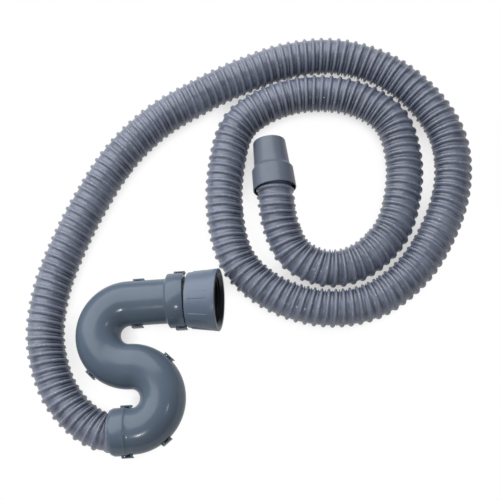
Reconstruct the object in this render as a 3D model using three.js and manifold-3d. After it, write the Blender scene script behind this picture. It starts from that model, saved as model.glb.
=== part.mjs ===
// Drain hose extension: a two-shell trap with a swivel nut, a ribbed hose and a cuff.
// The hose runs from the nut through the S of the trap, which clips round it, and lies
// in a flat spiral. Millimetres, +Z up, the floor at Z = 0.

import * as THREE from "three";
import { mergeVertices } from "three/addons/utils/BufferGeometryUtils.js";
import Module from "manifold-3d";

// Hose
const hoseDiameter = 36.6;
const hoseBore = 31.6;
const hoseSides = 12;

// Trap: two bends of half a turn each, one above the other
const bendRadius = 29.4;
const trapDiameter = 41.8;
const shellWall = 2;
const seamGap = 0.3;
const trapSides = 28;
const stepsPerBend = 15;
const inletLength = 53;
const outletLength = 19.3;

// Inlet collar, which turns the nut's flange inside it
const inletCollarDiameter = 50.8;
const inletCollarLength = 15;
const inletShoulder = 2.6;
const inletCollarWall = 1.6;
const inletLip = 2.5;

// Outlet collar, which the hose leaves
const outletCollarDiameter = 43.4;
const outletCollarLength = 14.6;
const outletChamfer = 3.6;
const outletEndDiameter = 39.8;
const outletBead = 1.6;
const outletBeadHeight = 0.4;

// Clips that hold the two shells together
const clipLength = 10.4;
const clipStandOut = 2;
const clipAbove = 2;
const clipBelow = 6.4;
const clipBand = 1.3;
const clipBar = 2.2;
const catchWidth = 3.6;
const catchStandOut = 1.7;
const catchHeight = 2;
const clipRoot = 1.5;
const clipOverhang = 0.8;
const straightClipOutside = 9.9;
const straightClipInside = 7.5;
const upperBendClip = 223;
const lowerBendClips = [45, -52];

// Nut
const neckDiameter = 42.2;
const neckBore = 39.4;
const flangeDiameter = 45.2;
const flangeThickness = 3;
const flangePlay = 3.3;
const nutBackGap = 3.3;
const nutBackDiameter = 51.4;
const nutMouthDiameter = 58.6;
const nutLength = 29;
const nutFloor = 3;
const nutReliefDiameter = 48.4;
const nutReliefLength = 6;
const threadBore = 45.2;
const mouthDiameter = 49.4;
const mouthChamfer = 3;
const nutSegments = 40;
const gripCount = 8;
const gripAngle = 16;
const gripLength = 18;
const gripStandOut = 0.7;
const gripStart = 4;
const nutTip = 4.7;
const nutTurn = -4;

// Ferrule in the hose's end, and the washer on it
const ferruleFlangeDiameter = 43.6;
const ferruleFlangeThickness = 2.5;
const ferruleWall = 1.6;
const ferruleDepth = 6;
const washerDiameter = 44.2;
const washerThickness = 3;
const turnedSegments = 32;

// Cuff on the free end
const cuffTipDiameter = 31.8;
const spigotBaseDiameter = 34.6;
const spigotLength = 27;
const spigotBore = 27;
const skirtTopDiameter = 40;
const skirtMouthDiameter = 41.6;
const skirtLength = 24;
const skirtShoulder = 3.4;
const skirtDepth = 17;
const skirtBore = 38.8;
const cuffSegments = 32;
const edgeRound = 0.8;

// Clearances
const hoseClearance = 0.6;
const seatGap = 0.3;

// How the hose leaves its two raised ends: straight out of the trap, low in the skirt,
// and with this share of the rise left at the route's first and last points
const hoseStraight = 4.6;
const hoseSag = 0.5;
const firstRise = 0.3;

// How the trap lies: its middle, and its turn on the floor
const trapMiddle = [-17.16, -3.62];
const trapTurn = 3;

// How the cuff lies: the middle of its tip, and the way its axis points
const cuffTip = [111.5, 216.7];
const cuffHeading = 96;

// The free hose's route over the floor, chosen by hand from the trap to the cuff
const hoseRoute = [
  [-56.5, -55], [-81.5, -28], [-97, 18], [-94, 67], [-79, 113.5], [-58.5, 158],
  [-33.5, 200], [0, 235.5], [41, 262], [84.5, 284.5], [130.5, 301.5], [179.5, 305.5],
  [226, 291], [263, 260.5], [286.5, 219], [288, 172], [272.5, 126], [245.5, 85.5],
  [205.5, 57.5], [160, 52], [114, 66.5], [82, 95.5], [69.5, 137.5], [69.5, 186.5],
  [81.5, 232], [107, 253], [146, 265.5], [194.5, 261.5], [229.5, 239.5], [241, 207],
  [241, 169.5], [227.5, 125.5], [196, 96], [164.5, 90], [136, 103.5], [122, 131.5],
];

const wasm = await Module();
wasm.setup();
const { Manifold, Mesh } = wasm;
const rad = THREE.MathUtils.degToRad;

// Solids from geometries, and geometries from solids
function solid(geometry) {
  const bare = geometry.clone();
  bare.deleteAttribute("normal");
  bare.deleteAttribute("uv");
  const merged = mergeVertices(bare, 1e-4);
  const vertProperties = new Float32Array(merged.attributes.position.array);
  const triVerts = new Uint32Array(merged.index.array);
  return new Manifold(new Mesh({ numProp: 3, vertProperties, triVerts }));
}

function geometryOf(body) {
  const mesh = body.getMesh();
  const geometry = new THREE.BufferGeometry();
  geometry.setAttribute("position", new THREE.BufferAttribute(new Float32Array(mesh.vertProperties), 3));
  geometry.setIndex(new THREE.BufferAttribute(new Uint32Array(mesh.triVerts), 1));
  geometry.computeVertexNormals();
  return geometry;
}

function union(bodies) {
  return bodies.reduce((all, body) => all.add(body));
}

// A turned piece: points are [distance along +X, radius] and close on themselves
function turned(points, segments) {
  const outline = [...points, points[0]].map(([along, radius]) => new THREE.Vector2(radius, along));
  const geometry = new THREE.LatheGeometry(outline, segments).rotateZ(-Math.PI / 2);
  return fixedOutwards(geometry);
}

function fixedOutwards(geometry) {
  const body = solid(geometry);
  if (body.volume() > 0) return body;
  const flipped = geometry.clone();
  const index = flipped.index.array;
  for (let i = 0; i < index.length; i += 3) [index[i], index[i + 1]] = [index[i + 1], index[i]];
  return solid(flipped);
}

function block(sizeX, sizeY, sizeZ, x, y, z) {
  return solid(new THREE.BoxGeometry(sizeX, sizeY, sizeZ).translate(x, y, z));
}

// The line through the trap, in its own plane: inlet, upper bend, lower bend, outlet.
// Each bend takes the same number of steps and each straight takes one.
class TrapLine extends THREE.Curve {
  constructor(inletEnd, outletEnd) {
    super();
    this.inletEnd = inletEnd;
    this.outletEnd = outletEnd;
    this.steps = 2 * stepsPerBend + 2;
  }

  getPoint(t, target = new THREE.Vector3()) {
    const step = t * this.steps;
    if (step <= 1) return target.set(this.inletEnd * (1 - step), 2 * bendRadius, 0);
    if (step >= this.steps - 1) {
      return target.set(-this.outletEnd * (step - this.steps + 1), -2 * bendRadius, 0);
    }
    const upper = step <= 1 + stepsPerBend;
    const share = upper ? (step - 1) / stepsPerBend : (step - 1 - stepsPerBend) / stepsPerBend;
    const angle = upper ? Math.PI * (0.5 + share) : Math.PI * (0.5 - share);
    const middle = upper ? bendRadius : -bendRadius;
    return target.set(bendRadius * Math.cos(angle), middle + bendRadius * Math.sin(angle), 0);
  }

  getUtoTmapping(u) {
    return u;
  }
}

function disc(radius, sides) {
  const corners = Array.from({ length: sides }, (_, i) => {
    const angle = (2 * Math.PI * i) / sides;
    return new THREE.Vector2(radius * Math.cos(angle), radius * Math.sin(angle));
  });
  return new THREE.Shape(corners);
}

function swept(radius, inletEnd, outletEnd) {
  const line = new TrapLine(inletEnd, outletEnd);
  const settings = { steps: line.steps, extrudePath: line, curveSegments: 1 };
  return fixedOutwards(new THREE.ExtrudeGeometry(disc(radius, trapSides), settings));
}

// Trap shells: swept and turned outside, hollowed the same way, parted along the seam
const trapRadius = trapDiameter / 2;
const trapBoreRadius = trapRadius - shellWall;
const inletCollarStart = inletLength - inletCollarLength;
const lipStart = inletLength - inletLip;
const pastEnd = 5;

function trapOutside() {
  const collarRadius = inletCollarDiameter / 2;
  const inletCollar = turned([
    [inletCollarStart - inletShoulder, trapBoreRadius],
    [inletCollarStart - inletShoulder, trapRadius],
    [inletCollarStart, collarRadius],
    [inletLength - edgeRound, collarRadius],
    [inletLength, collarRadius - edgeRound],
    [inletLength, trapBoreRadius],
  ], trapSides).translate([0, 2 * bendRadius, 0]);
  const outletRadius = outletCollarDiameter / 2;
  const outletStart = outletLength - outletCollarLength;
  const outletCollar = turned([
    [-outletStart, trapBoreRadius],
    [-outletStart, trapRadius],
    [-outletStart - edgeRound, outletRadius + outletBeadHeight],
    [-outletStart - outletBead, outletRadius],
    [-outletLength + outletChamfer, outletRadius],
    [-outletLength, outletEndDiameter / 2],
    [-outletLength, trapBoreRadius],
  ], trapSides).translate([0, -2 * bendRadius, 0]);
  return union([swept(trapRadius, inletLength - edgeRound, outletLength - edgeRound), inletCollar, outletCollar]);
}

function trapInside() {
  const cavityRadius = inletCollarDiameter / 2 - inletCollarWall;
  const lipRadius = neckDiameter / 2 + hoseClearance;
  const cavity = turned([
    [inletCollarStart + shellWall, 0],
    [inletCollarStart + shellWall, cavityRadius],
    [lipStart, cavityRadius],
    [lipStart, lipRadius],
    [inletLength + pastEnd, lipRadius],
    [inletLength + pastEnd, 0],
  ], trapSides).translate([0, 2 * bendRadius, 0]);
  return union([swept(trapBoreRadius, inletLength - inletLip, outletLength + pastEnd), cavity]);
}

// Clips: each is a loop on the upper shell that drops over a catch on the lower one.
// A clip stands in its own frame, +X along the tube and +Y out of it, at its seam.
const bend = (middle, angle) => {
  const out = rad(angle);
  return {
    x: (bendRadius + trapRadius) * Math.cos(out),
    y: middle * bendRadius + (bendRadius + trapRadius) * Math.sin(out),
    turn: angle - 90,
  };
};
const collarClipPlace = inletLength + clipOverhang - clipLength / 2;
const outletClipPlace = outletLength - outletCollarLength;
const clipPlaces = [
  { x: straightClipOutside, y: 2 * bendRadius + trapRadius, turn: 0 },
  { x: straightClipInside, y: 2 * bendRadius - trapRadius, turn: 180 },
  { x: collarClipPlace, y: 2 * bendRadius + inletCollarDiameter / 2, turn: 0 },
  { x: collarClipPlace, y: 2 * bendRadius - inletCollarDiameter / 2, turn: 180 },
  bend(1, upperBendClip),
  ...lowerBendClips.map((angle) => bend(-1, angle)),
  { x: -outletClipPlace, y: -2 * bendRadius + outletCollarDiameter / 2, turn: 0 },
  { x: -outletClipPlace, y: -2 * bendRadius - outletCollarDiameter / 2, turn: 180 },
];

function atClip(body, place) {
  return body.rotate([0, 0, place.turn]).translate([place.x, place.y, 0]);
}

function clipLoop() {
  const height = clipAbove + clipBelow;
  const middle = (clipAbove - clipBelow) / 2;
  const out = clipStandOut - clipBand / 2;
  const windowHeight = clipBelow - clipBar;
  const bridgeHeight = clipAbove - seamGap / 2;
  const plate = block(clipLength, clipBand, height, 0, out, middle);
  const window = block(clipLength - 2 * clipBar, 2 * clipBand, windowHeight, 0, out,
    (seamGap - windowHeight) / 2);
  const bridge = block(clipLength, clipStandOut + clipRoot, bridgeHeight, 0,
    (clipStandOut - clipRoot) / 2, clipAbove - bridgeHeight / 2);
  return union([plate.subtract(window), bridge]);
}

function clipCatch() {
  const top = -seamGap / 2 - seatGap;
  const bottom = top - catchHeight;
  const profile = new THREE.Shape([
    new THREE.Vector2(-clipRoot, top),
    new THREE.Vector2(0, top),
    new THREE.Vector2(catchStandOut, bottom),
    new THREE.Vector2(-clipRoot, bottom),
  ]);
  const wedge = new THREE.ExtrudeGeometry(profile, { depth: catchWidth, bevelEnabled: false });
  wedge.translate(0, 0, -catchWidth / 2);
  const axes = new THREE.Matrix4().makeBasis(
    new THREE.Vector3(0, 1, 0), new THREE.Vector3(0, 0, 1), new THREE.Vector3(1, 0, 0));
  return fixedOutwards(wedge.applyMatrix4(axes));
}

function trapShells() {
  const whole = trapOutside().subtract(trapInside());
  const reach = 4 * (bendRadius + trapDiameter);
  const half = (side) => whole.intersect(
    block(reach, reach, reach, 0, 0, side * (reach / 2 + seamGap / 2)));
  const upper = union([half(1), ...clipPlaces.map((place) => atClip(clipLoop(), place))]);
  const lower = union([half(-1), ...clipPlaces.map((place) => atClip(clipCatch(), place))]);
  return { upper, lower };
}

// The nut and what it holds share its axis: X runs out of the mouth from the tipping
// point, which is the middle of the collar's lip
const tippingPoint = inletLength - inletLip / 2;
const nutBack = inletLength + nutBackGap - tippingPoint;
const nutMouth = nutBack + nutLength;
const nutSeat = nutBack + nutFloor;
const flangeFront = lipStart - flangePlay - tippingPoint;
const flangeBack = flangeFront - flangeThickness;

function couplingNut() {
  const back = nutBackDiameter / 2;
  const mouth = nutMouthDiameter / 2;
  const body = turned([
    [flangeBack, neckBore / 2],
    [flangeBack, flangeDiameter / 2],
    [flangeFront, flangeDiameter / 2],
    [flangeFront, neckDiameter / 2],
    [nutBack, neckDiameter / 2],
    [nutBack, back - edgeRound],
    [nutBack + edgeRound, back],
    [nutMouth - edgeRound, mouth],
    [nutMouth, mouth - edgeRound],
    [nutMouth, mouthDiameter / 2],
    [nutMouth - mouthChamfer, threadBore / 2],
    [nutSeat + nutReliefLength, threadBore / 2],
    [nutSeat + nutReliefLength - edgeRound, nutReliefDiameter / 2],
    [nutSeat, nutReliefDiameter / 2],
    [nutSeat, neckBore / 2],
  ], nutSegments);
  const radiusAt = (along) => back + ((mouth - back) * (along - nutBack)) / nutLength;
  const start = nutBack + gripStart;
  const end = start + gripLength;
  const band = turned([
    [start, radiusAt(start) - edgeRound],
    [start + gripStandOut, radiusAt(start) + gripStandOut],
    [end - gripStandOut, radiusAt(end) + gripStandOut],
    [end, radiusAt(end) - edgeRound],
  ], 4 * nutSegments);
  const halfWidth = (back + gripStandOut) * Math.sin(rad(gripAngle / 2));
  const grips = Array.from({ length: gripCount }, (_, i) => block(2 * nutLength, 2 * halfWidth,
    mouth, 0, 0, mouth / 2 + back / 2).rotate([(360 * i) / gripCount, 0, 0]));
  return body.add(band.intersect(union(grips)));
}

const hoseEnd = nutSeat;
const ferruleSeat = nutSeat + seatGap;

function hoseFerrule() {
  const barb = hoseBore / 2 * Math.cos(Math.PI / hoseSides) - seatGap;
  return turned([
    [ferruleSeat - ferruleDepth, barb - ferruleWall],
    [ferruleSeat - ferruleDepth, barb],
    [ferruleSeat, barb],
    [ferruleSeat, ferruleFlangeDiameter / 2],
    [ferruleSeat + ferruleFlangeThickness, ferruleFlangeDiameter / 2],
    [ferruleSeat + ferruleFlangeThickness, barb - ferruleWall],
  ], turnedSegments);
}

function sealingWasher() {
  const back = ferruleSeat + ferruleFlangeThickness + seatGap;
  const bore = hoseBore / 2;
  return turned([
    [back, bore],
    [back, washerDiameter / 2],
    [back + washerThickness, washerDiameter / 2],
    [back + washerThickness, bore],
  ], turnedSegments);
}

// The cuff's axis runs from the tip, X = 0, to the skirt's mouth
const cuffLength = spigotLength + skirtLength;
const shoulderEnd = spigotLength + skirtShoulder;
const cuffNod = Math.asin((skirtTopDiameter - cuffTipDiameter) / 2 / shoulderEnd);

function cuff() {
  return turned([
    [0, spigotBore / 2],
    [0, cuffTipDiameter / 2 - edgeRound],
    [edgeRound, cuffTipDiameter / 2],
    [spigotLength, spigotBaseDiameter / 2],
    [shoulderEnd, skirtTopDiameter / 2],
    [cuffLength, skirtMouthDiameter / 2],
    [cuffLength, skirtBore / 2 + edgeRound / 2],
    [cuffLength - skirtDepth, skirtBore / 2],
    [cuffLength - skirtDepth, spigotBore / 2],
  ], cuffSegments);
}

// Materials
const plastic = (color, roughness) => new THREE.MeshStandardMaterial({ color, roughness, metalness: 0 });
const trapGrey = plastic(0x74808c, 0.35);
const nutGrey = plastic(0x7f8b98, 0.4);
const hoseGrey = plastic(0x787d8c, 0.3);
const rubberBlack = plastic(0x24262a, 0.8);
const ferruleGrey = plastic(0x3d434b, 0.5);

function named(name, geometry, material) {
  const mesh = new THREE.Mesh(geometry, material);
  mesh.name = name;
  return mesh;
}

// The trap lies on its two collars, so it rises towards the wider one at the nut
const trapFrame = new THREE.Group();
const outletContact = outletLength - outletChamfer;
const trapRise = Math.asin((inletCollarDiameter - outletCollarDiameter) / 2
  / (inletCollarStart + outletContact));
const riseHeight = (outletCollarDiameter / 2) * Math.cos(trapRise)
  + outletContact * Math.sin(trapRise);
trapFrame.position.set(trapMiddle[0], trapMiddle[1], riseHeight);
trapFrame.rotation.set(0, -trapRise, rad(trapTurn), "ZYX");
const shells = trapShells();
trapFrame.add(named("trap_shell_upper", geometryOf(shells.upper), trapGrey));
trapFrame.add(named("trap_shell_lower", geometryOf(shells.lower), trapGrey));

// The nut is tipped up in its collar by its own wide rim
const nutFrame = new THREE.Group();
nutFrame.position.set(tippingPoint, 2 * bendRadius, 0);
nutFrame.rotation.set(0, -rad(nutTip), rad(nutTurn), "ZYX");
nutFrame.add(named("coupling_nut", geometryOf(couplingNut()), nutGrey));
nutFrame.add(named("hose_ferrule", geometryOf(hoseFerrule()), ferruleGrey));
nutFrame.add(named("sealing_washer", geometryOf(sealingWasher()), rubberBlack));
trapFrame.add(nutFrame);
trapFrame.updateMatrixWorld(true);

// The cuff lies on the shoulder of its skirt and the rim of its tip
const cuffFrame = new THREE.Group();
const tipHeight = (cuffTipDiameter / 2) * Math.cos(cuffNod);
cuffFrame.position.set(cuffTip[0], cuffTip[1], tipHeight);
cuffFrame.rotation.set(0, -cuffNod, rad(cuffHeading - 180), "ZYX");
cuffFrame.add(named("cuff", geometryOf(cuff()), nutGrey));
cuffFrame.updateMatrixWorld(true);

// The hose starts on the ferrule, follows the trap's line and the route, and ends in
// the cuff's skirt. It lies on the floor apart from its two raised ends.
function hosePoints() {
  const line = new TrapLine(inletCollarStart, outletLength);
  const inTrap = Array.from({ length: line.steps + 1 }, (_, i) =>
    trapFrame.localToWorld(line.getPoint(i / line.steps)));
  const inNut = [hoseEnd, 0].map((along) => nutFrame.localToWorld(new THREE.Vector3(along, 0, 0)));
  const leaving = trapFrame.localToWorld(
    new THREE.Vector3(-outletLength - hoseStraight, -2 * bendRadius, 0));
  const inCuff = [cuffLength, cuffLength - skirtDepth + seatGap].map((along) =>
    cuffFrame.localToWorld(new THREE.Vector3(along, 0, -hoseSag)));
  const floorHeight = hoseDiameter / 2;
  const free = hoseRoute.map(([x, y]) => new THREE.Vector3(x, y, floorHeight));
  free[0].z += (leaving.z - floorHeight) * firstRise;
  free[free.length - 1].z += (inCuff[0].z - floorHeight) * firstRise;
  return [...inNut, ...inTrap, leaving, ...free, ...inCuff];
}

function hose() {
  const points = hosePoints();
  const line = new THREE.CatmullRomCurve3(points, false, "centripetal");
  line.getUtoTmapping = (u) => u;
  const section = disc(hoseDiameter / 2, hoseSides);
  section.holes.push(disc(hoseBore / 2, hoseSides));
  const settings = { steps: points.length - 1, extrudePath: line, curveSegments: 1 };
  return geometryOf(fixedOutwards(new THREE.ExtrudeGeometry(section, settings)));
}

const drainHoseExtension = new THREE.Group();
drainHoseExtension.add(trapFrame, named("hose", hose(), hoseGrey), cuffFrame);

export default drainHoseExtension;
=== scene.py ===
import math

import bmesh
import bpy
import numpy as np
from mathutils import Matrix, Vector


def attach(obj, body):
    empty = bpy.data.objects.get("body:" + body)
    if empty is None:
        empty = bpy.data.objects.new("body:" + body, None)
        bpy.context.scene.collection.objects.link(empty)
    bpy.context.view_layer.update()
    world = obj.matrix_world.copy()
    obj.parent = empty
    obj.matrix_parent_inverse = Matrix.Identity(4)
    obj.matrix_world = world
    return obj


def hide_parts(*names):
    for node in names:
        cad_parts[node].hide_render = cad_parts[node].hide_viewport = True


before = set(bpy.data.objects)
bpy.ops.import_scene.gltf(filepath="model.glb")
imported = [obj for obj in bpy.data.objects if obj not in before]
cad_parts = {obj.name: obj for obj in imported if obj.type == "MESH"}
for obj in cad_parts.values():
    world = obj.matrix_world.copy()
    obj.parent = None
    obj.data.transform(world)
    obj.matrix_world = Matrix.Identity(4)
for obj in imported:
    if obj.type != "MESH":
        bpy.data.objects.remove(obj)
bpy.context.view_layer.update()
MM = 0.001


# The view: the object lies on a table and is seen from nearly straight above, a little
# from the side that the trap's outlet is on, through a long lens.
VIEW_DISTANCE = 950 * MM
VIEW_TILT = math.radians(13.5)
VIEW_TARGET = Vector((92.9, 107.7, 18.3)) * MM

camera_data = bpy.data.cameras.new("camera")
camera_data.lens, camera_data.sensor_width = 72.0, 36.0
camera = bpy.data.objects.new("camera", camera_data)
bpy.context.scene.collection.objects.link(camera)
camera.location = VIEW_TARGET + VIEW_DISTANCE * Vector((0.0, -math.sin(VIEW_TILT), math.cos(VIEW_TILT)))
camera.rotation_euler = (VIEW_TILT, 0.0, 0.0)
bpy.context.scene.camera = camera


# The lie of the three rigid groups: the trap rests on its two collars, the nut is tipped
# up in the inlet collar by its own wide rim, and the cuff rests on its shoulder and tip.
# Each group is made along its own +X and then placed.
BEND_RADIUS = 29.4 * MM
INLET_LENGTH, INLET_COLLAR_LENGTH, INLET_LIP = 53.0 * MM, 15.0 * MM, 2.5 * MM
OUTLET_LENGTH, OUTLET_COLLAR_LENGTH, OUTLET_CHAMFER = 19.3 * MM, 14.6 * MM, 3.6 * MM
INLET_COLLAR_RADIUS, OUTLET_COLLAR_RADIUS = 25.4 * MM, 21.7 * MM
INLET_COLLAR_START = INLET_LENGTH - INLET_COLLAR_LENGTH
OUTLET_CONTACT = OUTLET_LENGTH - OUTLET_CHAMFER
TRAP_MIDDLE = (-17.16 * MM, -3.62 * MM)
TRAP_TURN = math.radians(3.0)
TRAP_RISE = math.asin((INLET_COLLAR_RADIUS - OUTLET_COLLAR_RADIUS) / (INLET_COLLAR_START + OUTLET_CONTACT))
RISE_HEIGHT = OUTLET_COLLAR_RADIUS * math.cos(TRAP_RISE) + OUTLET_CONTACT * math.sin(TRAP_RISE)
NUT_TIP, NUT_TURN = math.radians(4.7), math.radians(-4.0)
TIPPING_POINT = INLET_LENGTH - INLET_LIP / 2
CUFF_TIP = (111.5 * MM, 216.7 * MM)
CUFF_HEADING = math.radians(96.0)
CUFF_TIP_RADIUS, CUFF_TOP_RADIUS = 15.9 * MM, 20.0 * MM
CUFF_SPIGOT, CUFF_SHOULDER = 27.0 * MM, 3.4 * MM
CUFF_NOD = math.asin((CUFF_TOP_RADIUS - CUFF_TIP_RADIUS) / (CUFF_SPIGOT + CUFF_SHOULDER))


def lie(x, y, z, turn, rise):
    """The place of a group whose +X axis is turned on the floor and then raised."""
    return Matrix.Translation((x, y, z)) @ Matrix.Rotation(turn, 4, "Z") @ Matrix.Rotation(-rise, 4, "Y")


trap_place = lie(*TRAP_MIDDLE, RISE_HEIGHT, TRAP_TURN, TRAP_RISE)
nut_place = trap_place @ lie(TIPPING_POINT, 2 * BEND_RADIUS, 0.0, NUT_TURN, NUT_TIP)
cuff_place = lie(*CUFF_TIP, CUFF_TIP_RADIUS * math.cos(CUFF_NOD), CUFF_HEADING - math.pi, CUFF_NOD)


# The hose: one length of ribbed plastic hose, a round bead wound in a helix on a thin
# wall that folds up between the beads on the inside of a bend. It starts on the ferrule
# in the nut, runs through the trap, lies on the floor in a flat spiral and ends in the cuff.
HOSE_RADIUS = 18.3 * MM
HOSE_WALL_RADIUS = 16.1 * MM
HOSE_BORE_RADIUS = 15.2 * MM
HOSE_PITCH = 7.65 * MM
HOSE_SIDES = 35
HELIX_HAND = 1
HOSE_STRAIGHT = 4.6 * MM
HOSE_SAG = 0.5 * MM
FIRST_RISE = 0.3
CUFF_LENGTH, CUFF_SKIRT_DEPTH = 51.0 * MM, 17.0 * MM
SEAT_GAP = 0.3 * MM
NUT_GAP, NUT_FLOOR = 3.3 * MM, 3.0 * MM
NUT_BACK = NUT_GAP + INLET_LIP / 2
NUT_SEAT = NUT_BACK + NUT_FLOOR
BEND_STEPS = 15
CURVE_STEPS, LINE_SPACING = 40, 1 * MM
HOSE_ROUTE = [
    (-56.5, -55), (-81.5, -28), (-97, 18), (-94, 67), (-79, 113.5), (-58.5, 158),
    (-33.5, 200), (0, 235.5), (41, 262), (84.5, 284.5), (130.5, 301.5), (179.5, 305.5),
    (226, 291), (263, 260.5), (286.5, 219), (288, 172), (272.5, 126), (245.5, 85.5),
    (205.5, 57.5), (160, 52), (114, 66.5), (82, 95.5), (69.5, 137.5), (69.5, 186.5),
    (81.5, 232), (107, 253), (146, 265.5), (194.5, 261.5), (229.5, 239.5), (241, 207),
    (241, 169.5), (227.5, 125.5), (196, 96), (164.5, 90), (136, 103.5), (122, 131.5),
]


def trap_line(inlet_end, outlet_end):
    """Points along the middle of the trap, from the inlet to the outlet."""
    points = [(inlet_end, 2 * BEND_RADIUS, 0.0)]
    for share in np.linspace(0.0, 1.0, BEND_STEPS + 1):
        angle = math.pi * (0.5 + share)
        points.append((BEND_RADIUS * math.cos(angle), BEND_RADIUS * (1 + math.sin(angle)), 0.0))
    for share in np.linspace(0.0, 1.0, BEND_STEPS + 1)[1:]:
        angle = math.pi * (0.5 - share)
        points.append((BEND_RADIUS * math.cos(angle), BEND_RADIUS * (math.sin(angle) - 1), 0.0))
    return points + [(-outlet_end, -2 * BEND_RADIUS, 0.0)]


def hose_points():
    """The hose's route from the ferrule in the nut to the shelf in the cuff's skirt."""
    in_nut = [nut_place @ Vector((along, 0.0, 0.0)) for along in (NUT_SEAT, 0.0)]
    in_trap = [trap_place @ Vector(p) for p in trap_line(INLET_COLLAR_START, OUTLET_LENGTH)]
    leaving = trap_place @ Vector((-OUTLET_LENGTH - HOSE_STRAIGHT, -2 * BEND_RADIUS, 0.0))
    in_cuff = [cuff_place @ Vector((along, 0.0, -HOSE_SAG))
               for along in (CUFF_LENGTH, CUFF_LENGTH - CUFF_SKIRT_DEPTH + SEAT_GAP)]
    free = [Vector((x * MM, y * MM, HOSE_RADIUS)) for x, y in HOSE_ROUTE]
    free[0].z += (leaving.z - HOSE_RADIUS) * FIRST_RISE
    free[-1].z += (in_cuff[0].z - HOSE_RADIUS) * FIRST_RISE
    return [*in_nut, *in_trap, leaving, *free, *in_cuff]


def smooth_line(points, per_span):
    """A centripetal Catmull-Rom curve through the points."""
    p = np.array(points)
    p = np.vstack([2 * p[0] - p[1], p, 2 * p[-1] - p[-2]])
    line = []
    for a, b, c, d in zip(p[:-3], p[1:-2], p[2:-1], p[3:]):
        ab, bc, cd = (math.sqrt(np.linalg.norm(v - u)) for u, v in ((a, b), (b, c), (c, d)))
        start = ((b - a) / ab - (c - a) / (ab + bc) + (c - b) / bc) * bc
        end = ((c - b) / bc - (d - b) / (bc + cd) + (d - c) / cd) * bc
        for t in np.arange(per_span) / per_span:
            line.append(b + start * t + (3 * (c - b) - 2 * start - end) * t**2
                        + (2 * (b - c) + start + end) * t**3)
    return np.array([*line, p[-2]])


class HoseLine:
    """The hose's middle line by distance along it, with its side, top and bend."""

    def __init__(self, points, spacing):
        dense = smooth_line(points, CURVE_STEPS)
        along = self.distances(dense)
        self.length = along[-1]
        self.at = np.linspace(0.0, self.length, int(self.length / spacing))
        self.middle = np.stack([np.interp(self.at, along, dense[:, i]) for i in range(3)], 1)
        ahead = np.gradient(self.middle, self.at, axis=0)
        ahead /= np.linalg.norm(ahead, axis=1, keepdims=True)
        self.side = np.cross((0.0, 0.0, 1.0), ahead)
        self.side /= np.linalg.norm(self.side, axis=1, keepdims=True)
        self.top = np.cross(ahead, self.side)
        heading = np.unwrap(np.arctan2(ahead[:, 1], ahead[:, 0]))
        self.bend = np.gradient(heading, self.at)

    @staticmethod
    def distances(points):
        return np.concatenate([[0.0], np.cumsum(np.linalg.norm(np.diff(points, axis=0), axis=1))])

    def nearest(self, point):
        return self.at[np.argmin(np.linalg.norm(self.middle - np.array(point), axis=1))]

    def read(self, what, at):
        values = getattr(self, what)
        if values.ndim == 1:
            return np.interp(at, self.at, values)
        return np.stack([np.interp(at, self.at, values[:, i]) for i in range(3)], -1)

    def surface(self, at, angle, radius):
        out = (np.sin(angle)[..., None] * self.read("side", at)
               + np.cos(angle)[..., None] * self.read("top", at))
        return self.read("middle", at) + radius[..., None] * out


# One turn of the helix from bead to bead: how far along, how high on the bead, and how
# far up or down the wall goes where it is pressed together.
TURN_PROFILE = [
    (0.00, 1.00, 0.0), (0.085, 0.92, 0.0), (0.155, 0.69, 0.0), (0.205, 0.36, 0.0),
    (0.25, 0.00, -0.2), (0.36, 0.00, -0.55), (0.50, 0.00, 1.00), (0.64, 0.00, -0.55),
    (0.75, 0.00, -0.2), (0.795, 0.36, 0.0), (0.845, 0.69, 0.0), (0.915, 0.92, 0.0),
]
FOLD_HEIGHT = 1.15 * MM
FOLD_AT_REST, FOLD_EARLY = 0.12, 0.3
# Painted shade: how dark the grooves beside the ribs are painted where the hose is not pressed.
CREASE_AND_SHADE_AT_REST = 0.2
FOLD_STRETCHED, FOLD_PRESSED = 0.035, -0.13
FOLD_WANDER = 0.35
FOLD_VIGOUR_LEAST, FOLD_VIGOUR_MOST = 0.55, 1.35
FOLD_SEED, SPARE_TURNS = 5, 4
HELIX_INSIDE, TURNS_IN_SKIRT = 11 * MM, 0.6
PLAIN_END = 1 * MM
END_RING_GAP, BORE_RING_GAP = 6 * MM, 12 * MM


def step_between(low, high, value):
    """A smooth step from 0 at low to 1 at high, where high may be the smaller."""
    t = np.clip((value - low) / (high - low), 0.0, 1.0)
    return t * t * (3 - 2 * t)


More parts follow.
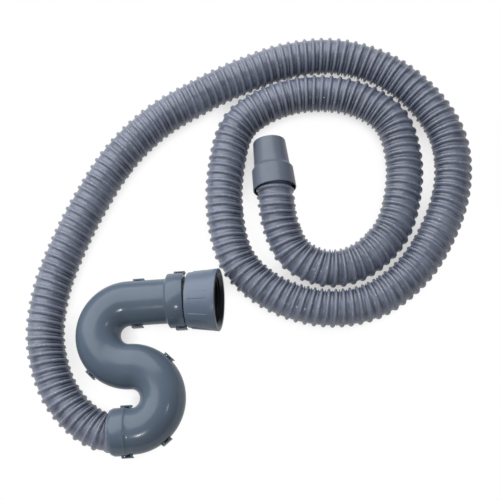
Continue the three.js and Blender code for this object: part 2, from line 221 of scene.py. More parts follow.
def hose_mesh(line, helix_start, helix_end):
    """One closed skin: the helix outside, plain ends, and a plain bore through it."""
    rows_a_turn, sides = len(TURN_PROFILE), HOSE_SIDES
    turns = int((helix_end - helix_start) / HOSE_PITCH)
    angle = math.pi + HELIX_HAND * 2 * math.pi * np.arange(sides) / sides
    share = np.arange(sides) / sides
    noise = np.random.default_rng(FOLD_SEED)
    vigour = noise.uniform(FOLD_VIGOUR_LEAST, FOLD_VIGOUR_MOST, turns + SPARE_TURNS)
    swirl = noise.uniform(0.0, 2 * math.pi, turns + SPARE_TURNS)

    points, bead, crease_and_shade, wound = [], [], [], []
    for row in range(rows_a_turn * turns + 1):
        turn, k = divmod(row, rows_a_turn)
        along, height, push = TURN_PROFILE[k]
        at = helix_start + (turn + along + share) * HOSE_PITCH
        strain = -line.read("bend", at) * HOSE_RADIUS * np.sin(angle)
        pressed = step_between(FOLD_STRETCHED, FOLD_PRESSED, strain)
        wander = 1 + FOLD_WANDER * np.sin(angle * 2 + swirl[turn])
        amount = FOLD_HEIGHT * vigour[turn] * wander * (
            FOLD_AT_REST + FOLD_EARLY * pressed**0.5 + (1 - FOLD_AT_REST - FOLD_EARLY) * pressed)
        radius = HOSE_WALL_RADIUS + (HOSE_RADIUS - HOSE_WALL_RADIUS) * height + amount * push
        points.append(line.surface(at, angle, radius))
        bead.append(np.full(sides, height))
        # This attribute marks the grooves and folds, for their relief and for painted shade.
        crease_and_shade.append((CREASE_AND_SHADE_AT_REST + (1 - CREASE_AND_SHADE_AT_REST) * pressed) * float(push < 0))
        wound.append(np.full(sides, helix_start + (turn + along) * HOSE_PITCH))
    rows = len(points)

    def ring(at, radius):
        points.append(line.surface(np.full(sides, at), angle, np.full(sides, radius)))
        bead.append(np.zeros(sides))
        crease_and_shade.append(np.zeros(sides))
        wound.append(np.full(sides, at))
        return len(points) - 1

    def v(row, side):
        return row * sides + side

    faces = [(v(r, s), v(r, s + 1), v(r + 1, s + 1), v(r + 1, s))
             for r in range(rows - 1) for s in range(sides - 1)]
    faces += [(v(r, sides - 1), v(r + rows_a_turn, 0), v(r + rows_a_turn + 1, 0), v(r + 1, sides - 1))
              for r in range(rows - 1 - rows_a_turn)]

    def band(low, high):
        return [(v(low, s), v(low, (s + 1) % sides), v(high, (s + 1) % sides), v(high, s))
                for s in range(sides)]

    # Plain ends outside, from the helix to the hose's two cut edges.
    first = ring(helix_start - PLAIN_END, HOSE_WALL_RADIUS)
    faces += [(v(first, s), v(first, s + 1), v(0, s + 1), v(0, s)) for s in range(sides - 1)]
    faces.append([v(first, sides - 1), v(first, 0), *(v(r, 0) for r in range(rows_a_turn + 1)),
                  v(0, sides - 1)])
    last_row = rows - 1
    last = ring(line.length - PLAIN_END, HOSE_WALL_RADIUS)
    faces += [(v(last_row, s), v(last_row, s + 1), v(last, s + 1), v(last, s)) for s in range(sides - 1)]
    faces.append([v(last_row, sides - 1), *(v(r, 0) for r in range(last_row - rows_a_turn, last_row + 1)),
                  v(last, 0), v(last, sides - 1)])
    previous = first
    for at in np.arange(helix_start - END_RING_GAP, 0.0, -END_RING_GAP):
        following = ring(max(at, 0.0), HOSE_WALL_RADIUS)
        faces += band(following, previous)
        previous = following
    edge_in = ring(0.0, HOSE_WALL_RADIUS)
    faces += band(edge_in, previous)

    # The bore, from the cut edge in the nut to the one in the cuff.
    previous = edge_in
    for at in np.linspace(0.0, line.length, int(line.length / BORE_RING_GAP)):
        following = ring(at, HOSE_BORE_RADIUS)
        faces += band(previous, following)
        previous = following
    edge_out = ring(line.length, HOSE_WALL_RADIUS)
    faces += band(previous, edge_out)
    faces += band(edge_out, last)

    mesh = bpy.data.meshes.new("hose_skin")
    mesh.from_pydata(np.concatenate(points).tolist(), [], faces)
    for name, values in (("bead", bead), ("crease_and_shade", crease_and_shade), ("wound", wound)):
        layer = mesh.attributes.new(name, "FLOAT", "POINT")
        layer.data.foreach_set("value", np.concatenate(values).astype(np.float32))
    work = bmesh.new()
    work.from_mesh(mesh)
    bmesh.ops.recalc_face_normals(work, faces=work.faces)
    work.to_mesh(mesh)
    work.free()
    mesh.shade_smooth()
    return mesh


hose_line = HoseLine(hose_points(), LINE_SPACING)
outlet_at = hose_line.nearest(trap_place @ Vector((-OUTLET_LENGTH, -2 * BEND_RADIUS, 0.0)))
skirt_at = hose_line.nearest(cuff_place @ Vector((CUFF_LENGTH, 0.0, 0.0)))
hose = bpy.data.objects.new("ribbed_hose", hose_mesh(
    hose_line, outlet_at - HELIX_INSIDE - HOSE_PITCH, skirt_at + TURNS_IN_SKIRT * HOSE_PITCH))
bpy.context.scene.collection.objects.link(hose)
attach(hose, "trap")
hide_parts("hose")


class Value:
    """A shader socket that can be added to, multiplied and so on."""

    def __init__(self, socket):
        self.socket = socket

    def math(self, operation, *values):
        node = self.socket.id_data.nodes.new("ShaderNodeMath")
        node.operation = operation
        for slot, value in zip(node.inputs, values):
            join(value, slot)
        return Value(node.outputs[0])

    def __add__(self, other):
        return self.math("ADD", self, other)

    def __sub__(self, other):
        return self.math("SUBTRACT", self, other)

    def __rsub__(self, other):
        return self.math("SUBTRACT", other, self)

    def __mul__(self, other):
        return self.math("MULTIPLY", self, other)

    __radd__, __rmul__ = __add__, __mul__


def join(value, slot):
    if isinstance(value, Value):
        slot.id_data.links.new(value.socket, slot)
    else:
        slot.default_value = value


class Look:
    """A material: one Principled shader and the nodes that feed it."""

    def __init__(self, name):
        self.material = bpy.data.materials.new(name)
        self.material.use_nodes = True
        self.nodes = self.material.node_tree.nodes
        self.shader = self.nodes["Principled BSDF"]

    def node(self, kind, settings, sockets, output=0):
        node = self.nodes.new(kind)
        for name, value in settings.items():
            setattr(node, name, value)
        for name, value in sockets.items():
            join(value, node.inputs[name])
        return Value(node.outputs[output])

    def attribute(self, name):
        return self.node("ShaderNodeAttribute", {"attribute_name": name}, {}, "Fac")

    def place(self):
        return self.node("ShaderNodeTexCoord", {}, {}, "Object")

    def scaled(self, x, y=None, z=None, turn=(0.0, 0.0, 0.0)):
        """The place on the object, scaled along each axis and turned."""
        scale = (x, x if y is None else y, x if z is None else z)
        return self.node("ShaderNodeMapping", {},
                         {"Vector": self.place(), "Rotation": turn, "Scale": scale})

    def noise(self, scale, detail, **sockets):
        """Noise about 0, mostly within a fifth of a unit of it."""
        return self.node("ShaderNodeTexNoise", {"noise_dimensions": "4D"},
                         {"Scale": scale, "Detail": detail, **sockets}, 0) - 0.5

    def between(self, low, high, value):
        """A smooth step from 0 at low to 1 at high."""
        return self.node("ShaderNodeMapRange", {"interpolation_type": "SMOOTHSTEP"},
                         {"Value": value, "From Min": low, "From Max": high})

    def blend(self, factor, low, high):
        return self.node("ShaderNodeMix", {"data_type": "RGBA"}, {0: factor, 6: low, 7: high}, 2)

    def finish(self, height, depth, sockets, *pieces):
        """Links the shader, with a relief of the given depth, and gives the pieces this material."""
        bump = self.node("ShaderNodeBump", {}, {"Height": height, "Distance": depth, "Strength": 1.0})
        for name, value in {**sockets, "Normal": bump}.items():
            join(value, self.shader.inputs[name])
        for piece in pieces:
            piece.data.materials.clear()
            piece.data.materials.append(self.material)


def grey(red, green, blue):
    """A colour from its three sRGB values in 255ths."""
    return (*(((v / 255 + 0.055) / 1.055) ** 2.4 for v in (red, green, blue)), 1.0)


# The hose's plastic: ribs a little lighter than the wall, with small bright painted glints
# on them, painted shade in the grooves beside the ribs and in the creases along the folds,
# and fine lines that run round the hose beside the ribs, as wound and stretched plastic
# has, under a thin gloss.
HOSE_RELIEF = 0.6 * MM
look = Look("hose_plastic")
rib, crease_and_shade, wound = look.attribute("bead"), look.attribute("crease_and_shade"), look.attribute("wound")
lines = look.noise(1.0, 2.0, Vector=look.scaled(28.0), W=wound * 750.0)
clouds = look.noise(1.0, 3.0, Vector=look.scaled(60.0), W=wound * 30.0)
wall = look.blend(look.between(-0.25, 0.25, clouds * 0.7 + lines), grey(97, 104, 123), grey(144, 151, 171))
ribbed = look.blend(look.between(0.2, 1.0, rib + lines * 0.4), wall, grey(133, 141, 162))
# Painted shade: the grooves beside the ribs and the creases of the folds are darkened in colour.
shaded = look.blend(look.between(0.15, 1.0, crease_and_shade + lines * 0.4) * 0.66, ribbed, grey(46, 51, 64))
# Painted glints: small light specks on the ribs that stand in for highlights.
painted_glints = look.between(0.11, 0.17, look.noise(1.0, 1.0, Vector=look.scaled(550.0), W=wound * 200.0))
look.finish(lines * (1.3 - rib) + crease_and_shade * 0.3, HOSE_RELIEF, {
    "Base Color": look.blend(painted_glints * rib * 0.7, shaded, grey(188, 193, 204)),
    "Roughness": 0.36 + clouds * 0.2 + lines * 0.3,
    "Coat Weight": 0.65, "Coat Roughness": 0.09}, hose)


# The trap's two half shells of moulded grey plastic, clipped shut round the hose: an S with
# a wide collar at the inlet and a narrow one at the outlet. Each is half a ring drawn and
# spun along the trap. The upper one carries the clips' loops, the lower one their catches.
TRAP_RADIUS = 20.9 * MM
SHELL_WALL = 1.8 * MM
SEAM_GAP = 0.3 * MM
INLET_HOLE_RADIUS = 21.7 * MM
INLET_SHOULDER, EDGE_ROUND = 2.6 * MM, 0.8 * MM
# The middle of a rounded edge lies in from the corner by this share of the rounding.
ARC_MIDDLE = 0.3
OUTLET_END_RADIUS = 19.9 * MM
BEAD_HEIGHT, BEAD_SLOPE = 0.3 * MM, 2.6 * MM
RING_SIDES = 96
BEND_LEAD = 1.0 * MM
BEND_SPINS = 56
MERGE_DISTANCE = 0.001 * MM
SMOOTH_ANGLE = math.radians(32)


def start_ring(x, radius, y=0.0):
    """A ring of vertices square to X, selected, in edit mode."""
    bpy.ops.object.select_all(action="DESELECT")
    bpy.ops.mesh.primitive_circle_add(vertices=RING_SIDES, radius=radius, location=(x, y, 0.0),
                                      rotation=(0.0, math.pi / 2, 0.0))
    bpy.ops.object.transform_apply(location=True, rotation=True, scale=True)
    bpy.ops.object.mode_set(mode="EDIT")
    return bpy.context.object


def draw_ring(steps, y=0.0):
    """Draws the selected ring out to each (x, radius) in turn."""
    work = bmesh.from_edit_mesh(bpy.context.object.data)
    here = [v.co for v in work.verts if v.select]
    x = sum(p.x for p in here) / len(here)
    radius = max(math.hypot(p.y - y, p.z) for p in here)
    for next_x, next_radius in steps:
        bpy.ops.mesh.extrude_region_move(TRANSFORM_OT_translate={"value": (next_x - x, 0.0, 0.0)})
        scale = next_radius / radius
        bpy.ops.transform.resize(value=(1.0, scale, scale), center_override=(next_x, y, 0.0))
        x, radius = next_x, next_radius


def close_skin():
    """Merges where the last ring met the first, and points the faces out."""
    bpy.ops.mesh.select_all(action="SELECT")
    bpy.ops.mesh.remove_doubles(threshold=MERGE_DISTANCE)
    bpy.ops.mesh.normals_make_consistent(inside=False)


def close_ring_piece(name, place):
    """Closes the skin of a piece that was drawn as rings, names the piece and places it."""
    close_skin()
    bpy.ops.object.mode_set(mode="OBJECT")
    piece = bpy.context.object
    piece.name = piece.data.name = name
    piece.data.transform(place)
    bpy.ops.object.shade_smooth_by_angle(angle=SMOOTH_ANGLE)
    return piece


def keep_half(side):
    """Deletes the ring's vertices on the other side of the seam."""
    work = bmesh.from_edit_mesh(bpy.context.object.data)
    for v in work.verts:
        v.select_set(v.co.z * side < -SEAM_GAP)
    work.select_flush(True)
    bmesh.update_edit_mesh(bpy.context.object.data)
    bpy.ops.mesh.delete(type="VERT")
    bpy.ops.mesh.select_all(action="SELECT")


def spin_round(middle, angle):
    """Spins the selected edge round the bend whose middle lies at this Y."""
    bpy.ops.mesh.spin(steps=BEND_SPINS, angle=angle, center=(0.0, middle, 0.0), axis=(0.0, 0.0, 1.0))


def trap_shell(name, side):
    """The upper (side 1) or lower (side -1) half shell, without its clips."""
    shell = start_ring(INLET_LENGTH, INLET_HOLE_RADIUS, 2 * BEND_RADIUS)
    keep_half(side)
    draw_ring([
        (INLET_LENGTH, INLET_COLLAR_RADIUS - EDGE_ROUND),
        (INLET_LENGTH - ARC_MIDDLE * EDGE_ROUND, INLET_COLLAR_RADIUS - ARC_MIDDLE * EDGE_ROUND),
        (INLET_LENGTH - EDGE_ROUND, INLET_COLLAR_RADIUS),
        (INLET_COLLAR_START + EDGE_ROUND, INLET_COLLAR_RADIUS),
        (INLET_COLLAR_START, INLET_COLLAR_RADIUS - EDGE_ROUND / 2),
        (INLET_COLLAR_START - INLET_SHOULDER + EDGE_ROUND / 2, TRAP_RADIUS + EDGE_ROUND / 2),
        (INLET_COLLAR_START - INLET_SHOULDER, TRAP_RADIUS),
        (INLET_COLLAR_START - INLET_SHOULDER - EDGE_ROUND, TRAP_RADIUS),
        (BEND_LEAD, TRAP_RADIUS), (0.0, TRAP_RADIUS),
    ], 2 * BEND_RADIUS)
    spin_round(BEND_RADIUS, -math.pi)
    spin_round(-BEND_RADIUS, math.pi)
    bead = -(OUTLET_LENGTH - OUTLET_COLLAR_LENGTH)
    bead_top = OUTLET_COLLAR_RADIUS + BEAD_HEIGHT
    draw_ring([
        (-BEND_LEAD, TRAP_RADIUS), (bead + BEAD_SLOPE, TRAP_RADIUS),
        (bead, OUTLET_COLLAR_RADIUS), (bead - EDGE_ROUND / 2, bead_top),
        (bead - EDGE_ROUND, bead_top), (bead - 1.5 * EDGE_ROUND, OUTLET_COLLAR_RADIUS),
        (-OUTLET_CONTACT, OUTLET_COLLAR_RADIUS),
        (-OUTLET_LENGTH + EDGE_ROUND / 2, OUTLET_END_RADIUS + EDGE_ROUND / 2),
        (-OUTLET_LENGTH, OUTLET_END_RADIUS),
    ], -2 * BEND_RADIUS)
    seam_share = SEAM_GAP / 2 / TRAP_RADIUS
    bpy.ops.mesh.select_all(action="SELECT")
    bpy.ops.transform.resize(value=(1.0, 1.0, 1.0 - seam_share),
                             center_override=(0.0, 0.0, side * TRAP_RADIUS))
    bpy.ops.mesh.normals_make_consistent(inside=False)
    bpy.ops.object.mode_set(mode="OBJECT")
    crest = max(shell.data.polygons, key=lambda face: side * face.center.z)
    if crest.normal.z * side < 0:
        shell.data.flip_normals()
    wall = shell.modifiers.new("wall", "SOLIDIFY")
    wall.thickness, wall.offset, wall.use_even_offset = SHELL_WALL, -1.0, True
    bpy.ops.object.modifier_apply(modifier="wall")
    shell.name = shell.data.name = name
    return shell


CLIP_LENGTH, CLIP_OUT, CLIP_BAND, CLIP_BAR = 10.4 * MM, 2.0 * MM, 1.3 * MM, 2.2 * MM
CLIP_ABOVE, CLIP_BELOW = 2.0 * MM, 6.4 * MM
CLIP_ROOT, CLIP_OVERHANG = 1.5 * MM, 0.8 * MM
CATCH_WIDTH, CATCH_OUT, CATCH_HEIGHT = 5.2 * MM, 1.7 * MM, 2.0 * MM
LOOP_EDGE, CATCH_EDGE = 0.25 * MM, 0.2 * MM
FAR_CLIP, NEAR_CLIP = 9.9 * MM, 7.5 * MM
SQUARE_TO = 0.9
COLLAR_CLIP = INLET_LENGTH + CLIP_OVERHANG - CLIP_LENGTH / 2
OUTLET_CLIP = OUTLET_LENGTH - OUTLET_COLLAR_LENGTH


def bend_clip(side, angle):
    """The place and turn of a clip on the outside of a bend, in degrees round that bend."""
    out, turn = BEND_RADIUS + TRAP_RADIUS, math.radians(angle)
    return (out * math.cos(turn), side * BEND_RADIUS + out * math.sin(turn), angle - 90)


# Each clip's place on the trap and its turn in degrees: two on the straight run, two on
# the inlet collar, three on the bends and two on the outlet collar.
CLIP_PLACES = [
    (FAR_CLIP, 2 * BEND_RADIUS + TRAP_RADIUS, 0),
    (NEAR_CLIP, 2 * BEND_RADIUS - TRAP_RADIUS, 180),
    (COLLAR_CLIP, 2 * BEND_RADIUS + INLET_COLLAR_RADIUS, 0),
    (COLLAR_CLIP, 2 * BEND_RADIUS - INLET_COLLAR_RADIUS, 180),
    bend_clip(1, 223), bend_clip(-1, 45), bend_clip(-1, -52),
    (-OUTLET_CLIP, -2 * BEND_RADIUS + OUTLET_COLLAR_RADIUS, 0),
    (-OUTLET_CLIP, -2 * BEND_RADIUS - OUTLET_COLLAR_RADIUS, 180),
]


def block(low, high):
    """A box between two corners, in object mode."""
    bpy.ops.object.select_all(action="DESELECT")
    middle = [(a + b) / 2 for a, b in zip(low, high)]
    bpy.ops.mesh.primitive_cube_add(size=1.0, location=middle)
    piece = bpy.context.object
    piece.scale = [b - a for a, b in zip(low, high)]
    bpy.ops.object.transform_apply(location=True, rotation=True, scale=True)
    return piece


def clip_loop():
    """A strap with a window, on two legs: a plate whose broad faces are inset and bridged."""
    half, inner_face = CLIP_LENGTH / 2, CLIP_OUT - CLIP_BAND
    plate = block((-half, inner_face, -CLIP_BELOW), (half, CLIP_OUT, SEAM_GAP / 2))
    bpy.ops.object.mode_set(mode="EDIT")
    work = bmesh.from_edit_mesh(plate.data)
    for face in work.faces:
        face.select_set(abs(face.normal.y) > SQUARE_TO)
    bmesh.update_edit_mesh(plate.data)
    bpy.ops.mesh.inset(thickness=CLIP_BAR, depth=0.0, use_individual=True)
    bpy.ops.mesh.bridge_edge_loops()
    work = bmesh.from_edit_mesh(plate.data)
    for face in work.faces:
        face.select_set(face.normal.z > SQUARE_TO and face.calc_center_median().z > 0)
    bmesh.update_edit_mesh(plate.data)
    raised = CLIP_ABOVE - SEAM_GAP / 2
    bpy.ops.mesh.extrude_region_move(TRANSFORM_OT_translate={"value": (0.0, 0.0, raised)})
    for side in (-1, 1):
        bpy.ops.mesh.select_all(action="SELECT")
        bpy.ops.mesh.bisect(plane_co=(side * (half - CLIP_BAR), 0.0, 0.0), plane_no=(1.0, 0.0, 0.0))
    bpy.ops.mesh.select_all(action="DESELECT")
    work = bmesh.from_edit_mesh(plate.data)
    for face in work.faces:
        middle = face.calc_center_median()
        on_leg = middle.z > SEAM_GAP and abs(middle.x) > half - CLIP_BAR
        face.select_set(face.normal.y < -SQUARE_TO and on_leg)
    bmesh.update_edit_mesh(plate.data)
    bpy.ops.mesh.extrude_region_move(
        TRANSFORM_OT_translate={"value": (0.0, -(inner_face + CLIP_ROOT), 0.0)})
    bpy.ops.mesh.select_all(action="SELECT")
    bpy.ops.mesh.normals_make_consistent(inside=False)
    bpy.ops.object.mode_set(mode="OBJECT")
    soften(plate, LOOP_EDGE)
    return plate


def clip_catch():
    """A wedge: a block whose upper outer edge is drawn back."""
    top = -SEAM_GAP / 2 - SEAT_GAP
    base = top - CATCH_HEIGHT
    wedge = block((-CATCH_WIDTH / 2, -CLIP_ROOT, base), (CATCH_WIDTH / 2, CATCH_OUT, top))
    for v in wedge.data.vertices:
        if v.co.y > 0 and v.co.z > (base + top) / 2:
            v.co.y = 0.0
    soften(wedge, CATCH_EDGE)
    return wedge


def soften(piece, width):
    """Rounds the edges of a clip's loop or catch."""
    bevel = piece.modifiers.new("edges", "BEVEL")
    bevel.width, bevel.segments, bevel.limit_method = width, 2, "ANGLE"
    bpy.context.view_layer.objects.active = piece
    bpy.ops.object.modifier_apply(modifier="edges")


def join_copies(shell, small, places):
    """Joins a copy of a small piece at each place to the shell, and places the shell."""
    copies = []
    for x, y, turn in places:
        copy = small.copy()
        copy.data = small.data.copy()
        copy.data.transform(Matrix.Translation((x, y, 0.0)) @ Matrix.Rotation(math.radians(turn), 4, "Z"))
        bpy.context.scene.collection.objects.link(copy)
        copies.append(copy)
    bpy.data.objects.remove(small)
    bpy.ops.object.select_all(action="DESELECT")
    for copy in [*copies, shell]:
        copy.select_set(True)
    bpy.context.view_layer.objects.active = shell
    bpy.ops.object.join()
    shell.data.transform(trap_place)
    bpy.ops.object.shade_smooth_by_angle(angle=SMOOTH_ANGLE)


upper = trap_shell("upper_shell", 1)
join_copies(upper, clip_loop(), CLIP_PLACES)
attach(upper, "trap")
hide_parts("trap_shell_upper")
lower = trap_shell("lower_shell", -1)
join_copies(lower, clip_catch(), CLIP_PLACES)
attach(lower, "trap")
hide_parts("trap_shell_lower")


SCUFF_TURN = (0.3, 0.4, 0.6)
MOULDED_RELIEF = 0.16 * MM


def moulded(name, light, dark, roughness, *pieces, bore=None):
    """Satin moulded plastic: a faint flow in its colour, a fine grain, a few dull scuffs and, where a bore
    colour is given, painted shade in the bore.
    """
    look = Look(name)
    flow = look.noise(26.0, 4.0, Vector=look.place())
    grain = look.noise(1300.0, 2.0, Vector=look.place())
    swell = look.noise(75.0, 1.0, Vector=look.place())
    scuff = look.between(0.18, 0.26, look.noise(1.0, 4.0, Vector=look.scaled(420, 35, 90, SCUFF_TURN)))
    colour = look.blend(look.between(-0.3, 0.3, flow), dark, light)
    # Painted shade: the given bore colour darkens the inside of the nut's mouth, which lies in shade.
    if bore:
        colour = look.blend(look.attribute("bore"), colour, bore)
    look.finish(grain * 0.1 + swell, MOULDED_RELIEF, {
        "Base Color": colour,
        "Roughness": roughness + flow * 0.1 + grain * 0.05 + scuff * 0.14}, *pieces)


moulded("trap_plastic", grey(106, 121, 139), grey(98, 113, 130), 0.2, upper, lower)


# The coupling nut: moulded grey plastic, a cone with eight raised grips that fade towards
# its mouth, and a thread in its bore, whose colour is darkened as painted shade. Its neck
# and flange turn in the inlet collar.
# It is a ring drawn out and back along its axis, inset for the grips, with a screwed thread.
NUT_LENGTH = 29.0 * MM
NUT_MOUTH = NUT_BACK + NUT_LENGTH
NUT_BACK_RADIUS, NUT_MOUTH_RADIUS = 25.7 * MM, 29.3 * MM
FLANGE_FRONT, FLANGE_BACK = -4.55 * MM, -7.55 * MM
NECK_RADIUS, NECK_BORE, FLANGE_RADIUS = 21.1 * MM, 19.7 * MM, 22.6 * MM
THREAD_BORE, MOUTH_BORE, RELIEF_BORE = 22.6 * MM, 24.7 * MM, 24.2 * MM
RELIEF_LENGTH, MOUTH_CHAMFER = 6.0 * MM, 3.0 * MM
GRIP_COUNT, GRIP_FACES = 8, 4
GRIP_START, GRIP_LENGTH, GRIP_OUT, GRIP_FADE = 4.0 * MM, 18.0 * MM, 0.7 * MM, 0.1 * MM
GRIP_EDGE, FACE_REACH = 0.35 * MM, 1 * MM
THREAD_PITCH, THREAD_DEPTH, THREAD_ROOT = 2.31 * MM, 1.1 * MM, 0.2 * MM
THREAD_HALF_BASE = 0.46 * THREAD_PITCH
THREAD_TURNS, THREAD_STEPS = 6, 60


def cone(x):
    """The nut's outer radius at a distance along its axis."""
    return NUT_BACK_RADIUS + (NUT_MOUTH_RADIUS - NUT_BACK_RADIUS) * (x - NUT_BACK) / (NUT_MOUTH - NUT_BACK)


def coupling_nut():
    grip_start, grip_end = NUT_BACK + GRIP_START, NUT_BACK + GRIP_START + GRIP_LENGTH
    relief_end = NUT_SEAT + RELIEF_LENGTH
    start_ring(FLANGE_BACK, NECK_BORE)
    draw_ring([
        (FLANGE_BACK, FLANGE_RADIUS), (FLANGE_FRONT, FLANGE_RADIUS), (FLANGE_FRONT, NECK_RADIUS),
        (NUT_BACK, NECK_RADIUS), (NUT_BACK, NUT_BACK_RADIUS - EDGE_ROUND),
        (NUT_BACK + ARC_MIDDLE * EDGE_ROUND, NUT_BACK_RADIUS - ARC_MIDDLE * EDGE_ROUND),
        (NUT_BACK + EDGE_ROUND, cone(NUT_BACK + EDGE_ROUND)),
        (grip_start, cone(grip_start)), (grip_end, cone(grip_end)),
        (NUT_MOUTH - EDGE_ROUND, cone(NUT_MOUTH - EDGE_ROUND)),
        (NUT_MOUTH - ARC_MIDDLE * EDGE_ROUND, NUT_MOUTH_RADIUS - ARC_MIDDLE * EDGE_ROUND),
        (NUT_MOUTH, NUT_MOUTH_RADIUS - EDGE_ROUND), (NUT_MOUTH, MOUTH_BORE + EDGE_ROUND / 2),
        (NUT_MOUTH - EDGE_ROUND / 2, MOUTH_BORE),
        (NUT_MOUTH - MOUTH_CHAMFER, THREAD_BORE), (relief_end, THREAD_BORE),
        (relief_end - EDGE_ROUND, RELIEF_BORE), (NUT_SEAT, RELIEF_BORE),
        (NUT_SEAT, NECK_BORE), (FLANGE_BACK, NECK_BORE),
    ])
    nut = bpy.context.object
    close_skin()
    bpy.ops.mesh.select_all(action="DESELECT")
    work = bmesh.from_edit_mesh(nut.data)
    middle_x = (grip_start + grip_end) / 2
    sector = 2 * math.pi / GRIP_COUNT
    half = GRIP_FACES / 2 * 2 * math.pi / RING_SIDES
    for face in work.faces:
        centre = face.calc_center_median()
        off = (math.atan2(centre.y, centre.z) + sector / 2) % sector - sector / 2
        outside = centre.yz.length > THREAD_BORE + FACE_REACH
        face.select_set(outside and abs(centre.x - middle_x) < FACE_REACH and abs(off) < half)
    bmesh.update_edit_mesh(nut.data)
    bpy.ops.mesh.inset(thickness=GRIP_EDGE, depth=GRIP_OUT)
    work = bmesh.from_edit_mesh(nut.data)
    for v in work.verts:
        if v.select and v.co.x > middle_x:
            v.co.yz = v.co.yz * ((cone(v.co.x) + GRIP_FADE) / v.co.yz.length)
    bmesh.update_edit_mesh(nut.data)
    close_ring_piece("swivel_nut", Matrix())
    thread = screw_thread(relief_end + 0.5 * THREAD_PITCH)
    bpy.ops.object.select_all(action="DESELECT")
    thread.select_set(True)
    nut.select_set(True)
    bpy.context.view_layer.objects.active = nut
    bpy.ops.object.join()
    # The faces inside the mouth, whose colour is darkened as painted shade.
    bore = nut.data.attributes.new("bore", "FLOAT", "POINT")
    inside = [v.co.yz.length < MOUTH_BORE + EDGE_ROUND for v in nut.data.vertices]
    bore.data.foreach_set("value", [float(v) for v in inside])
    nut.data.transform(nut_place)
    return nut


def screw_thread(start):
    """One triangular ridge, screwed round the nut's bore."""
    bpy.ops.object.select_all(action="DESELECT")
    bpy.ops.mesh.primitive_circle_add(vertices=3, radius=THREAD_PITCH / 2)
    ridge = bpy.context.object
    corners = [(start - THREAD_HALF_BASE, THREAD_BORE + THREAD_ROOT), (start, THREAD_BORE - THREAD_DEPTH),
               (start + THREAD_HALF_BASE, THREAD_BORE + THREAD_ROOT)]
    for v, (x, y) in zip(ridge.data.vertices, corners):
        v.co = (x, y, 0.0)
    turns = ridge.modifiers.new("turns", "SCREW")
    turns.axis, turns.screw_offset, turns.iterations = "X", THREAD_PITCH, THREAD_TURNS
    turns.steps = turns.render_steps = THREAD_STEPS
    bpy.ops.object.modifier_apply(modifier="turns")
    bpy.ops.object.mode_set(mode="EDIT")
    bpy.ops.mesh.select_all(action="SELECT")
    bpy.ops.mesh.remove_doubles(threshold=MERGE_DISTANCE)
    bpy.ops.mesh.select_all(action="DESELECT")
    bpy.ops.mesh.select_non_manifold()
    bpy.ops.mesh.edge_face_add()
    bpy.ops.mesh.select_all(action="SELECT")
    bpy.ops.mesh.normals_make_consistent(inside=False)
    bpy.ops.object.mode_set(mode="OBJECT")
    return ridge


nut = coupling_nut()
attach(nut, "coupling")
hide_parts("coupling_nut")
# The nut's bore colour is painted shade, not a colour of its plastic.
moulded("nut_plastic", grey(122, 137, 158), grey(113, 128, 148), 0.28, nut, bore=grey(40, 44, 52))


# The ferrule and the washer: a stiff plastic sleeve whose barrel sits in the hose's end
# and whose flange seats on the nut's floor, and a flat rubber ring on that flange.
FERRULE_BACK = NUT_SEAT + SEAT_GAP
FERRULE_FLANGE, FERRULE_RADIUS, FERRULE_DEPTH = 2.5 * MM, 21.8 * MM, 6.0 * MM
BARREL_RADIUS, BARREL_BORE = 14.95 * MM, 13.35 * MM
BARREL_END, FERRULE_FRONT = FERRULE_BACK - FERRULE_DEPTH, FERRULE_BACK + FERRULE_FLANGE
WASHER_THICKNESS, WASHER_RADIUS, WASHER_BORE = 3.0 * MM, 22.1 * MM, 15.8 * MM
WASHER_BACK = FERRULE_FRONT + SEAT_GAP
WASHER_FRONT = WASHER_BACK + WASHER_THICKNESS
SOFT_EDGE = 0.4 * MM

start_ring(BARREL_END, BARREL_BORE)
draw_ring([
    (BARREL_END, BARREL_RADIUS - SOFT_EDGE), (BARREL_END + SOFT_EDGE, BARREL_RADIUS),
    (FERRULE_BACK, BARREL_RADIUS), (FERRULE_BACK, FERRULE_RADIUS - SOFT_EDGE),
    (FERRULE_BACK + SOFT_EDGE, FERRULE_RADIUS), (FERRULE_FRONT - SOFT_EDGE, FERRULE_RADIUS),
    (FERRULE_FRONT, FERRULE_RADIUS - SOFT_EDGE), (FERRULE_FRONT, BARREL_BORE + SOFT_EDGE),
    (FERRULE_FRONT - SOFT_EDGE, BARREL_BORE), (BARREL_END, BARREL_BORE),
])
ferrule = close_ring_piece("end_ferrule", nut_place)
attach(ferrule, "trap")
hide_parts("hose_ferrule")
moulded("ferrule_plastic", grey(62, 67, 75), grey(54, 59, 66), 0.45, ferrule)

start_ring(WASHER_BACK, WASHER_BORE + SOFT_EDGE)
draw_ring([
    (WASHER_BACK, WASHER_RADIUS - SOFT_EDGE), (WASHER_BACK + SOFT_EDGE, WASHER_RADIUS),
    (WASHER_FRONT - SOFT_EDGE, WASHER_RADIUS), (WASHER_FRONT, WASHER_RADIUS - SOFT_EDGE),
    (WASHER_FRONT, WASHER_BORE + SOFT_EDGE), (WASHER_FRONT - SOFT_EDGE, WASHER_BORE),
    (WASHER_BACK + SOFT_EDGE, WASHER_BORE), (WASHER_BACK, WASHER_BORE + SOFT_EDGE),
])
washer = close_ring_piece("flat_washer", nut_place)
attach(washer, "trap")
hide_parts("sealing_washer")
moulded("seal_rubber", grey(38, 40, 44), grey(32, 34, 37), 0.7, washer)


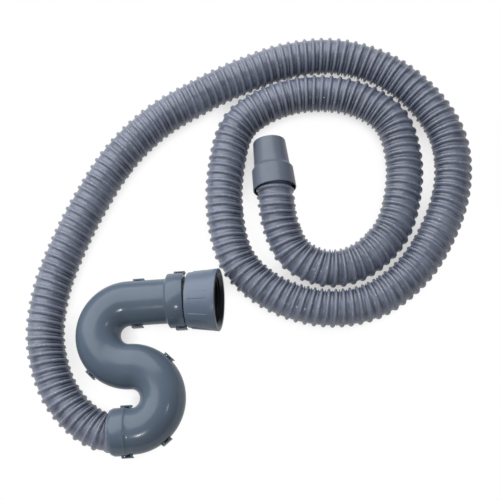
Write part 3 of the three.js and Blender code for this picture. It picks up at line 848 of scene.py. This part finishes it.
# The cuff: soft grey plastic, a tapered spigot that pushes into a waste pipe and a wider
# skirt that is pushed over the hose's end. A steep shoulder joins them, and a fine line
# runs round the spigot just before it.
SPIGOT_BASE, SKIRT_MOUTH = 17.3 * MM, 20.8 * MM
CUFF_BORE, SKIRT_BORE = 13.5 * MM, 19.4 * MM
CUFF_EDGE = 1.2 * MM
LINE_AT, LINE_STEP = 25.0 * MM, 0.15 * MM
LINE_RADIUS = SPIGOT_BASE - 0.1 * MM
SHOULDER_FOOT, SHOULDER_RISE = 0.5 * MM, 0.6 * MM
SHOULDER_END, SKIRT_SHELF = CUFF_SPIGOT + CUFF_SHOULDER, CUFF_LENGTH - CUFF_SKIRT_DEPTH
RIM_ALONG, RIM_IN = 0.5 * MM, 0.4 * MM
RIM_CHAMFER, RIM_PLAY = 0.6 * MM, 0.2 * MM

start_ring(SKIRT_SHELF, CUFF_BORE)
draw_ring([
    (CUFF_EDGE / 2, CUFF_BORE), (0.0, CUFF_BORE + CUFF_EDGE / 2), (0.0, CUFF_TIP_RADIUS - CUFF_EDGE),
    (ARC_MIDDLE * CUFF_EDGE, CUFF_TIP_RADIUS - ARC_MIDDLE * CUFF_EDGE), (CUFF_EDGE, CUFF_TIP_RADIUS),
    (LINE_AT - 3 * LINE_STEP, LINE_RADIUS), (LINE_AT, LINE_RADIUS + LINE_STEP),
    (CUFF_SPIGOT - LINE_STEP, SPIGOT_BASE + LINE_STEP),
    (CUFF_SPIGOT + SHOULDER_FOOT, SPIGOT_BASE + SHOULDER_RISE),
    (SHOULDER_END - SHOULDER_RISE, CUFF_TOP_RADIUS - SHOULDER_FOOT), (SHOULDER_END, CUFF_TOP_RADIUS),
    (CUFF_LENGTH - RIM_ALONG, SKIRT_MOUTH), (CUFF_LENGTH, SKIRT_MOUTH - RIM_IN),
    (CUFF_LENGTH, SKIRT_BORE + RIM_CHAMFER), (CUFF_LENGTH - RIM_CHAMFER, SKIRT_BORE + RIM_PLAY),
    (SKIRT_SHELF, SKIRT_BORE), (SKIRT_SHELF, CUFF_BORE),
])
cuff = close_ring_piece("stepped_cuff", cuff_place)
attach(cuff, "trap")
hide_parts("cuff")
moulded("cuff_plastic", grey(119, 128, 145), grey(110, 119, 135), 0.3, cuff)


# The stage: a white floor that keeps the object's shadow, a large soft light over the far
# left of the object, which leaves its near right darker, and two small lamps, one on the
# near side and one on the right, for the highlights.
FLOOR_SIZE = 40.0
MIRRORED_WHITE, COVERED_WHITE = 0.5, 0.4
SHADOW_REACH, OPEN_SHARE = 20 * MM, 0.65
SKY = 0.12
bpy.ops.object.select_all(action="DESELECT")
bpy.ops.mesh.primitive_plane_add(size=FLOOR_SIZE)
floor = bpy.context.object
floor.name = "floor"
look = Look("floor")
join((0.5, 0.5, 0.5, 1.0), look.shader.inputs["Base Color"])
join(0.6, look.shader.inputs["Roughness"])
seen = look.node("ShaderNodeLightPath", {}, {}, "Is Camera Ray")
mirrored = look.node("ShaderNodeLightPath", {}, {}, "Is Glossy Ray")
through = look.node("ShaderNodeLightPath", {}, {}, "Is Transmission Ray")
open_floor = look.node("ShaderNodeAmbientOcclusion", {"samples": 8}, {"Distance": SHADOW_REACH}, "AO")
uncovered = look.between(0.0, OPEN_SHARE, open_floor)
share = (seen + MIRRORED_WHITE * mirrored + through) * (COVERED_WHITE + (1 - COVERED_WHITE) * uncovered)
white = look.node("ShaderNodeEmission", {}, {"Color": (1.0, 1.0, 1.0, 1.0)})
mixed = look.node("ShaderNodeMixShader", {}, {0: share, 1: Value(look.shader.outputs[0]), 2: white})
join(mixed, look.nodes["Material Output"].inputs["Surface"])
floor.data.materials.append(look.material)


def lamp(name, width, depth, radiance, azimuth, elevation, distance, target):
    """A rectangular lamp of the given radiance that shines on the target from a direction."""
    data = bpy.data.lights.new(name, "AREA")
    data.shape, data.size, data.size_y = "RECTANGLE", width, depth
    data.energy = radiance * math.pi * width * depth
    light = bpy.data.objects.new(name, data)
    bpy.context.scene.collection.objects.link(light)
    azimuth, elevation = math.radians(azimuth), math.radians(elevation)
    away = Vector((math.cos(azimuth) * math.cos(elevation), math.sin(azimuth) * math.cos(elevation),
                   math.sin(elevation)))
    light.location = Vector(target) + distance * away
    light.rotation_euler = away.to_track_quat("Z", "Y").to_euler()


OBJECT_MIDDLE, TRAP_TOP = (0.1, 0.1, 0.0), (0.0, 0.0, 0.04)
lamp("soft_light", 2.5, 1.6, 1.88, 130, 43, 1.2, OBJECT_MIDDLE)
lamp("near_lamp", 0.04, 0.04, 240.0, -95, 56, 1.0, TRAP_TOP)
lamp("right_lamp", 0.02, 0.02, 220.0, -17, 54, 1.0, TRAP_TOP)
world = bpy.data.worlds.new("world")
bpy.context.scene.world = world
world.use_nodes = True
join((1.0, 1.0, 1.0, 1.0), world.node_tree.nodes["Background"].inputs["Color"])
join(SKY, world.node_tree.nodes["Background"].inputs["Strength"])
bpy.context.scene.view_settings.view_transform = "Standard"
